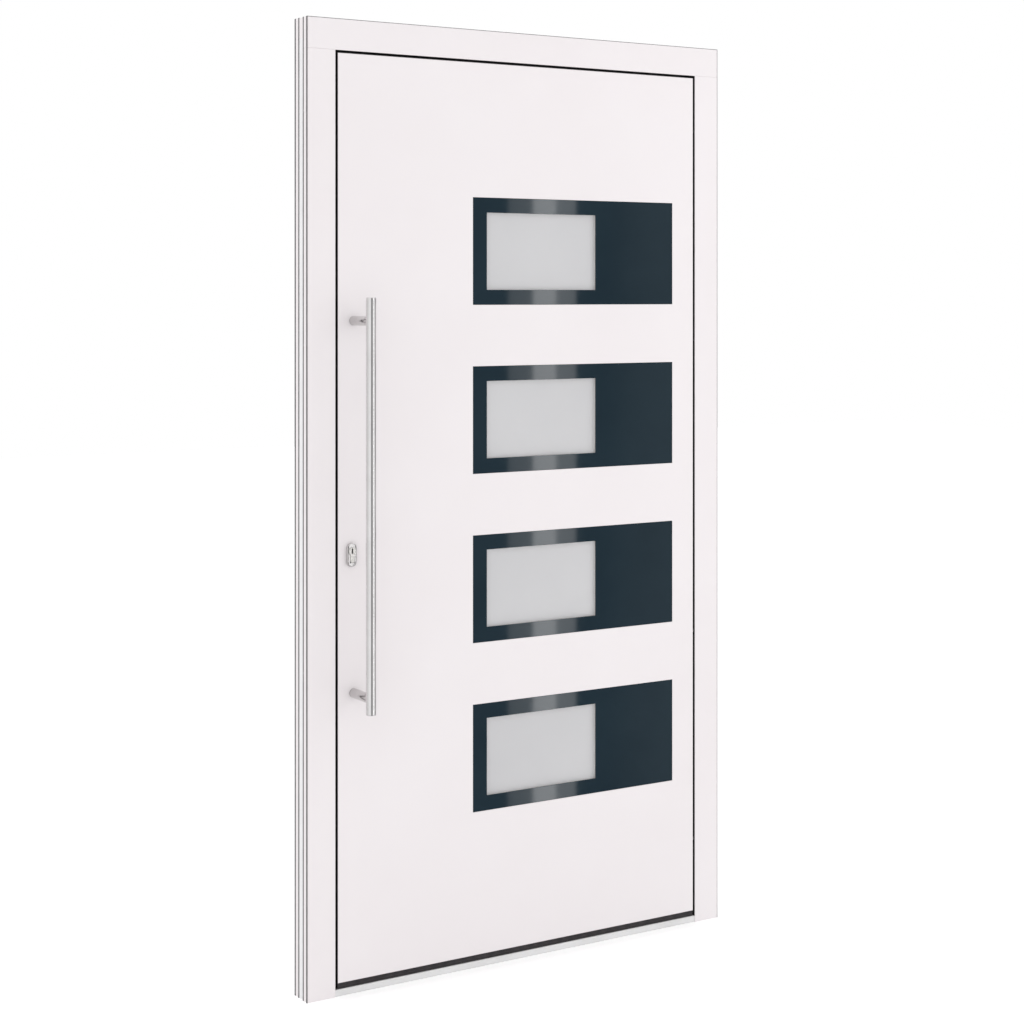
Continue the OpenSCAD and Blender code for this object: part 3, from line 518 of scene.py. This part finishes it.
def bottom_gasket():
    """Two lipped strips under the leaf that close the gap over the threshold.
    Their outlines are (distance from the middle of the frame's depth, height) in millimetres."""
    low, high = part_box("bottom_seal")
    shape = bmesh.new()
    height = (high.z - low.z) / MM

    def along(a, b, t):
        return Vector((t, a * MM, low.z + b * MM))
    outer = [(-14, height), (-28, height), (-28, 9.6), (-27.4, 9.2), (-28, 8.8), (-28, 5.4),
             (-27.2, 4.6), (-27.8, 3.8), (-26.8, 0.6), (-26.0, 0.0), (-24.6, 0.6), (-23.6, 4.4),
             (-18.6, 4.4), (-17.4, 0.4), (-16.2, 0.0), (-15.2, 0.8), (-14, 5.0)]
    inner = [(14, height), (14, 5.0), (15.2, 0.8), (16.2, 0.0), (17.4, 0.4), (18.6, 4.4),
             (22.4, 4.4), (23.4, 0.6), (24.6, 0.0), (25.6, 0.8), (26, 5.0), (26, height)]
    add_strip(shape, outer, along, skin_low.x, -skin_low.x)
    add_strip(shape, inner, along, low.x, high.x)
    bmesh.ops.recalc_face_normals(shape, faces=shape.faces[:])
    return make("bottom_gasket", shape, SEAL, "leaf", ("bottom_seal",))


def grooved_threshold():
    """The outer threshold rail with three anti-slip grooves along its top."""
    shape = bmesh.new()
    top = (sill_high.z - sill_low.z) / MM
    back, front = sill_high.y / MM, sill_low.y / MM
    section = [(front + 1.2, 0), (front, 1.2), (front, top - 1.6)]
    section += [(front + 0.5, top - 0.5), (front + 1.6, top)]
    groove = 0.8
    for middle in (front + 5, front + 9.5, front + 14):
        section += [(middle - 1, top), (middle - 0.7, top - groove)]
        section += [(middle + 0.7, top - groove), (middle + 1, top)]
    section += [(back, top), (back, 0)]

    def along(a, b, t):
        return Vector((t, a * MM, sill_low.z + b * MM))
    add_strip(shape, section, along, sill_low.x, sill_high.x)
    bmesh.ops.recalc_face_normals(shape, faces=shape.faces[:])
    return make("threshold_outer_rail_grooved", shape, LOOKS["threshold_metal"], "frame",
                ("threshold_outer_rail",), sharp=20)


# ---------------------------------------------------------------- screws

def loose_solids(mesh):
    """The corner points of each separate solid of a mesh."""
    source = bmesh.new()
    source.from_mesh(mesh)
    bmesh.ops.remove_doubles(source, verts=source.verts[:], dist=MERGE * MM)
    waiting = set(source.verts)
    solids = []
    while waiting:
        found = [waiting.pop()]
        for vert in found:
            for edge in vert.link_edges:
                other = edge.other_vert(vert)
                if other in waiting:
                    waiting.remove(other)
                    found.append(other)
        solids.append([vert.co.copy() for vert in found])
    source.free()
    return solids


def painted_screw_socket_shade(name, node):
    """A black hexagon in the head of every screw of a CAD piece, painted shade for the socket's recess."""
    across, end_slice = 1.9, 0.3
    socket = [(0, -0.5), (across, -0.5), (across, 0.02), (across - 0.2, 0.05), (0, 0.05)]
    shape = bmesh.new()
    for points in loose_solids(nodes[node].data):
        low = Vector([min(point[i] for point in points) for i in range(3)])
        high = Vector([max(point[i] for point in points) for i in range(3)])
        span = high - low
        along = max(range(3), key=lambda i: span[i])
        middle = (low + high) / 2

        def spread(end):
            near = [point - middle for point in points if abs(point[along] - end) < end_slice * MM]
            return max(math.sqrt(max(away.length_squared - away[along] ** 2, 0)) for away in near)
        out = 1 if spread(high[along]) > spread(low[along]) else -1
        base = middle.copy()
        base[along] = high[along] if out > 0 else low[along]
        direction = [out if i == along else 0 for i in range(3)]
        add_turned(shape, socket, base, direction, 6)
    bmesh.ops.recalc_face_normals(shape, faces=shape.faces[:])
    # Black rubber here is painted shade standing in for the dark hollow of each screw's socket.
    return make(name, shape, LOOKS["rubber"], body_of(node))


# ---------------------------------------------------------------- outside fittings

def pull_bar():
    """The long bar: a brushed tube with a pressed-in end cap at each end."""
    radius = (bar_high.x - bar_low.x) / 2 / MM
    length = (bar_high.z - bar_low.z) / MM
    middle = (bar_low + bar_high) / 2
    seam, width = 3.0, 0.5
    low_half = [(0, 0), *rounded_end(radius, 0, 1.2, -1), (radius, seam), (radius - 0.4, seam + 0.1),
                (radius - 0.4, seam + width), (radius, seam + width + 0.1)]
    high_half = [(r, length - h) for r, h in reversed(low_half)]
    base = Vector((middle.x, middle.y, bar_low.z))
    return turned("pull_bar_tube", [(low_half + high_half, base, (0, 0, 1))], LOOKS["stainless"],
                  "leaf", ("pull_bar",), steps=72)


def pull_posts():
    """Two round posts with a foot washer and a dark seam ring at the bar."""
    radius = (posts_high.x - posts_low.x) / 2 / MM
    reach = (posts_high.y - bar_high.y) / MM
    axis_x = (posts_low.x + posts_high.x) / 2
    heights = (posts_low.z + radius * MM, posts_high.z - radius * MM)
    into_bar = 6.0
    ring = reach - 0.2
    profile = [(0, 0), (radius, 0), (radius, 1.2), (radius - 0.5, 1.4), (radius - 0.5, 1.9), (radius, 2.1),
               (radius, ring - 2.4), (radius - 1.0, ring - 2.2), (radius - 1.0, ring - 1.0),
               (radius, ring - 0.8), (radius, ring + into_bar), (0, ring + into_bar)]
    parts = [(profile, Vector((axis_x, posts_high.y, z)), (0, -1, 0)) for z in heights]
    turned("pull_posts_turned", parts, TURNED, "leaf", ("pull_posts",))


def stadium(width, height, centre, count=96):
    """Points of an upright oval with round ends, in (x, z) millimetres."""
    radius = width / 2
    straight = height / 2 - radius
    points = []
    for i in range(count):
        angle = 2 * math.pi * i / count
        lift = straight if math.sin(angle) > 1e-9 else -straight
        if abs(math.sin(angle)) <= 1e-9:
            lift = 0
        points.append((centre[0] + radius * math.cos(angle), centre[1] + lift + radius * math.sin(angle)))
    return points


def euro_outline(radius, leg, low, count=96):
    """The keyhole-shaped section of a profile cylinder, seen along its axis, as rays from its waist.
    The round part is centred at (0, 0), the leg has width leg and ends at z = low."""
    waist = -9.0
    points = []
    for i in range(count):
        angle = 2 * math.pi * i / count
        dx, dz = math.cos(angle), math.sin(angle)
        b = -waist * dz
        root = b * b - (waist * waist - radius * radius)
        reach = b + math.sqrt(root) if root > 0 and b > 0 else 0
        side = leg / 2 / abs(dx) if abs(dx) > 1e-9 else 1e9
        end = low if dz < 0 else 0
        stop = (end - waist) / dz if abs(dz) > 1e-9 else 1e9
        reach = max(reach, min(side, stop))
        points.append((dx * reach, waist + dz * reach))
    return points


def cylinder_rosette(name, wall_y, out, replaced=()):
    """An oval rosette with a rounded rim and a hole that fits the profile cylinder."""
    width = (rosettes_high.x - rosettes_low.x) / MM
    height = (rosettes_high.z - rosettes_low.z) / MM
    axis_x = (cylinder_low.x + cylinder_high.x) / 2
    middle = (rosettes_high.z + rosettes_low.z) / 2 / MM
    axis_z = cylinder_high.z / MM - cylinder_r
    rim_round = 1.6

    def level(points, y):
        return [Vector((axis_x + x * MM, wall_y + out * y * MM, z * MM)) for x, z in points]
    hole = [(x, axis_z + z) for x, z in euro_outline(cylinder_r + 0.3, 10.6, -24.9)]
    loops = [level(hole, 0), level(stadium(width, height, (0, middle)), 0)]
    for turn in QUARTER:
        shrink = rim_round * (1 - math.cos(math.radians(turn)))
        lift = rosette_proud - rim_round + rim_round * math.sin(math.radians(turn))
        loops.append(level(stadium(width - 2 * shrink, height - 2 * shrink, (0, middle)), lift))
    rim = [(x, axis_z + z) for x, z in euro_outline(cylinder_r + 0.7, 11.4, -25.3)]
    loops += [level(rim, rosette_proud), level(hole, rosette_proud - 0.4), level(hole, 0)]
    return lofted(loops, name, TURNED, "leaf", replaced, closed_ends=False)


def painted_keyway_shades():
    """Black slabs in the plug's two faces, painted shade for the dark inside of the keyway slots."""
    shape = bmesh.new()
    axis_x = (cylinder_low.x + cylinder_high.x) / 2
    middle_z = cylinder_high.z / MM - cylinder_r + 0.5
    wide, tall = 3.4, 11.6
    for face_y, out in ((plug_low.y, -1), (plug_high.y, 1)):
        loops = []
        for grow, lift in ((0, -0.5), (0, 0.04), (-0.25, 0.08)):
            outline = stadium(wide + grow, tall + grow, (0, middle_z), 32)
            loops.append(outline_verts(shape, [Vector((axis_x + x * MM, face_y + out * lift * MM, z * MM))
                                               for x, z in outline]))
        for first, second in zip(loops, loops[1:]):
            bmesh.ops.bridge_loops(shape, edges=first + second)
        bmesh.ops.contextual_create(shape, geom=loops[0])
        bmesh.ops.contextual_create(shape, geom=loops[-1])
    bmesh.ops.recalc_face_normals(shape, faces=shape.faces[:])
    # The black rubber here is painted shade: it stands in for the shade inside each keyway.
    make("keyway_painted_shade", shape, LOOKS["rubber"], "key_plug")


def cylinder_rosettes():
    cylinder_rosette("outer_cylinder_rosette", outer_leaf_y, -1, ("cylinder_rosettes",))
    cylinder_rosette("inner_cylinder_rosette", room_leaf_y, 1)


# ---------------------------------------------------------------- room-side fittings

def lever_rosette():
    radius = (disc_high.x - disc_low.x) / 2 / MM
    depth = (disc_high.y - disc_low.y) / MM
    middle = (disc_low + disc_high) / 2
    hole = 9.3
    profile = [(hole, 0), (radius, 0), *rounded_end(radius, depth, 2.0, 1), (hole + 1.6, depth),
               (hole + 0.6, depth - 0.5), (hole, depth - 0.5), (hole, 0)]
    base = Vector((middle.x, disc_low.y, middle.z))
    return turned("lever_rosette_turned", [(profile, base, (0, 1, 0))], TURNED, "leaf",
                  ("lever_rosette",), steps=96)


def lever_handle():
    """A round neck, a smooth elbow and a grip that flattens slightly and ends in a dome."""
    radius = (lever_high.z - lever_low.z) / 2 / MM
    neck_x = lever_low.x / MM + radius
    axis_z = (lever_high.z + lever_low.z) / 2 / MM
    grip_y = lever_high.y / MM - radius
    start_y = lever_low.y / MM
    end_x = lever_high.x / MM
    bend = 15.0
    flattened = 1.6
    dome = radius * 0.7
    loops = []

    def ring(centre, along, wide, high):
        across = Vector((along.y, -along.x, 0))
        points = []
        for i in range(RING_STEPS):
            t = 2 * math.pi * i / RING_STEPS
            points.append((centre + across * wide * math.cos(t) + Vector((0, 0, high * math.sin(t)))) * MM)
        loops.append(points)
    outwards, sideways = Vector((0, 1, 0)), Vector((1, 0, 0))
    for y in (start_y, grip_y - bend - 1):
        ring(Vector((neck_x, y, axis_z)), outwards, radius, radius)
    for step in range(13):
        t = math.radians(90 * step / 12)
        centre = Vector((neck_x + bend * (1 - math.cos(t)), grip_y - bend + bend * math.sin(t), axis_z))
        ring(centre, Vector((math.sin(t), math.cos(t), 0)), radius, radius)
    for share in (0.15, 0.4, 0.7, 1.0):
        x = neck_x + bend + (end_x - dome - neck_x - bend) * share
        ring(Vector((x, grip_y, axis_z)), sideways, radius - flattened * share, radius)
    for turn in (20, 40, 60, 75, 84):
        t = math.radians(turn)
        x = end_x - dome * (1 - math.sin(t))
        wide, high = (radius - flattened) * math.cos(t), radius * math.cos(t)
        ring(Vector((x, grip_y, axis_z)), sideways, wide, high)
    return lofted(loops, "lever_handle_grip", LOOKS["stainless"], "lever", ("lever_handle",))


# ---------------------------------------------------------------- studio

def plain_white(name, colour, glow):
    look = bpy.data.materials.new(name)
    look.use_nodes = True
    shader = look.node_tree.nodes["Principled BSDF"]
    shader.inputs["Base Color"].default_value = (*colour, 1)
    shader.inputs["Roughness"].default_value = 0.8
    shader.inputs["Specular IOR Level"].default_value = 0.0
    shader.inputs["Emission Color"].default_value = (1, 1, 1, 1)
    shader.inputs["Emission Strength"].default_value = glow
    return look


def floor():
    shape = bmesh.new()
    bmesh.ops.create_grid(shape, x_segments=1, y_segments=1, size=14)
    mesh = bpy.data.meshes.new("floor")
    shape.to_mesh(mesh)
    shape.free()
    thing = bpy.data.objects.new("floor", mesh)
    bpy.context.scene.collection.objects.link(thing)
    mesh.materials.append(plain_white("floor", (0.90, 0.90, 0.90), 0.26))
    thing.visible_glossy = False


def camera():
    lens = bpy.data.cameras.new("camera")
    lens.lens = 69.75
    lens.sensor_width = 36
    lens.shift_y = -0.2122
    lens.clip_end = 60
    thing = bpy.data.objects.new("camera", lens)
    thing.location = (-2.420, -3.836, 1.507)
    thing.rotation_euler = Euler((math.radians(90), 0, math.radians(-32.06)))
    bpy.context.scene.collection.objects.link(thing)
    bpy.context.scene.camera = thing


def azimuth_ramp(tree, azimuth, stops, smooth=True, span=(-180, 180)):
    """Brightness round the room: stops are (degrees to the right of straight ahead, value), and span
    is the stretch of degrees that the ramp covers."""
    share = tree.nodes.new("ShaderNodeMapRange")
    share.inputs["From Min"].default_value = math.radians(span[0])
    share.inputs["From Max"].default_value = math.radians(span[1])
    tree.links.new(azimuth, share.inputs["Value"])
    ramp = tree.nodes.new("ShaderNodeValToRGB")
    ramp.color_ramp.interpolation = "EASE" if smooth else "LINEAR"
    ends = ramp.color_ramp.elements
    for end, value in ((ends[0], stops[0][1]), (ends[1], stops[-1][1])):
        end.color = (value, value, value, 1)
    for degrees, value in stops[1:-1]:
        stop = ramp.color_ramp.elements.new((degrees - span[0]) / (span[1] - span[0]))
        stop.color = (value, value, value, 1)
    tree.links.new(share.outputs["Result"], ramp.inputs["Fac"])
    return ramp.outputs["Color"]


def blended(tree, factor, first, second):
    mix = tree.nodes.new("ShaderNodeMix")
    mix.data_type = "RGBA"
    given = ((mix.inputs["Factor"], factor), (mix.inputs["A"], first), (mix.inputs["B"], second))
    for socket, value in given:
        if isinstance(value, bpy.types.NodeSocket):
            tree.links.new(value, socket)
        elif socket == mix.inputs["Factor"]:
            socket.default_value = value
        else:
            socket.default_value = (value, value, value, 1)
    return mix.outputs["Result"]


def studio():
    """A soft white room. Its mirror image has bright and dark walls, and to the front right a narrow
    dark window with a strip light in three steps, which the glossy plates and the bar mirror."""
    world = bpy.data.worlds.new("studio")
    bpy.context.scene.world = world
    world.use_nodes = True
    tree = world.node_tree
    join = tree.links.new
    place = tree.nodes.new("ShaderNodeTexCoord")
    parts = tree.nodes.new("ShaderNodeSeparateXYZ")
    join(place.outputs["Generated"], parts.inputs[0])
    flip = tree.nodes.new("ShaderNodeMath")
    flip.operation = "MULTIPLY"
    flip.inputs[1].default_value = -1
    join(parts.outputs["Y"], flip.inputs[0])
    angle = tree.nodes.new("ShaderNodeMath")
    angle.operation = "ARCTAN2"
    join(parts.outputs["X"], angle.inputs[0])
    join(flip.outputs[0], angle.inputs[1])
    around = angle.outputs[0]
    room = azimuth_ramp(tree, around, (
        (-180, 0.35), (-150, 0.40), (-110, 0.76), (-62, 0.98), (-33, 1.0), (-27, 0.32), (12, 0.34),
        (18, BRIGHT), (48, BRIGHT), (56, 0.55), (100, 0.36), (150, 0.34), (180, 0.35)))
    strip = [(28, BRIGHT), (29.5, BRIGHT), (30.2, 0.02), (31.9, 0.02), (32.0, 1.0), (32.63, 1.2),
             (32.7, 4.2), (33.3, 4.4), (33.36, 2.0), (33.87, 1.9), (33.95, 0.02), (34.8, 0.02),
             (35.6, 0.14), (37.4, 0.24), (39, 0.4), (40, BRIGHT)]
    share_of_room = [(degrees, value / BRIGHT / STRIP_SCALE) for degrees, value in strip]
    window = azimuth_ramp(tree, around, share_of_room, smooth=False, span=(28, 40))
    scaled = tree.nodes.new("ShaderNodeVectorMath")
    scaled.operation = "SCALE"
    scaled.inputs["Scale"].default_value = STRIP_SCALE
    join(window, scaled.inputs[0])
    bright = tree.nodes.new("ShaderNodeVectorMath")
    bright.operation = "MULTIPLY"
    join(scaled.outputs["Vector"], bright.inputs[0])
    join(room, bright.inputs[1])
    height = tree.nodes.new("ShaderNodeMapRange")
    height.interpolation_type = "SMOOTHSTEP"
    height.inputs["From Min"].default_value = 0.35
    height.inputs["From Max"].default_value = 0.7
    join(parts.outputs["Z"], height.inputs["Value"])
    depth = tree.nodes.new("ShaderNodeMapRange")
    depth.interpolation_type = "SMOOTHSTEP"
    depth.inputs["From Min"].default_value = -0.32
    depth.inputs["From Max"].default_value = -0.55
    join(parts.outputs["Z"], depth.inputs["Value"])
    level = blended(tree, depth.outputs["Result"], bright.outputs["Vector"], DIM)
    glossy = blended(tree, height.outputs["Result"], level, WHITE)
    soft = azimuth_ramp(tree, around, ((-180, 1.0), (-90, 1.22), (0, 0.858), (60, 0.878), (180, 1.0)))
    path = tree.nodes.new("ShaderNodeLightPath")
    lit = blended(tree, path.outputs["Is Glossy Ray"], soft, glossy)
    seen = blended(tree, path.outputs["Is Camera Ray"], lit, WHITE)
    join(seen, tree.nodes["Background"].inputs["Color"])


def side_light():
    """A large soft light high on the hinge side, kept out of the mirror images."""
    lamp = bpy.data.lights.new("side_light", "AREA")
    lamp.shape = "SQUARE"
    lamp.size = 1.6
    lamp.energy = 8.0
    thing = bpy.data.objects.new("side_light", lamp)
    thing.location = (2.0, -1.9, 2.3)
    aim = Vector((0.35, 0.0, 1.3)) - thing.location
    thing.rotation_euler = aim.to_track_quat("-Z", "Y").to_euler()
    thing.visible_glossy = False
    bpy.context.scene.collection.objects.link(thing)


def build():
    repaint_frame()
    for node in ("outer_skin", "inner_skin", "head_outer_shell", "head_inner_shell",
                 "lock_jamb_outer_shell", "lock_jamb_inner_shell", "hinge_jamb_outer_shell",
                 "hinge_jamb_inner_shell", "window_plate_1", "window_plate_2", "window_plate_3",
                 "window_plate_4", "inner_trims", "head_end_caps"):
        softened(node)
    for node in ("latch_bolt", "deadbolt", "lock_faceplate", "main_strike", "hook_strikes",
                 "threshold_inner_rail"):
        softened(node, width=0.3)
    painted_side_groove_shade()
    anchor_caps()
    painted_gap_shade_linings()
    frame_gasket()
    leaf_gasket()
    bottom_gasket()
    grooved_threshold()
    painted_screw_socket_shade("frame_painted_screw_socket_shade", "frame_screws")
    painted_screw_socket_shade("leaf_painted_screw_socket_shade", "leaf_screws")
    pull_bar()
    pull_posts()
    cylinder_rosettes()
    painted_keyway_shades()
    lever_rosette()
    lever_handle()


build()
floor()
camera()
studio()
side_light()
bpy.context.scene.view_settings.view_transform = "Standard"
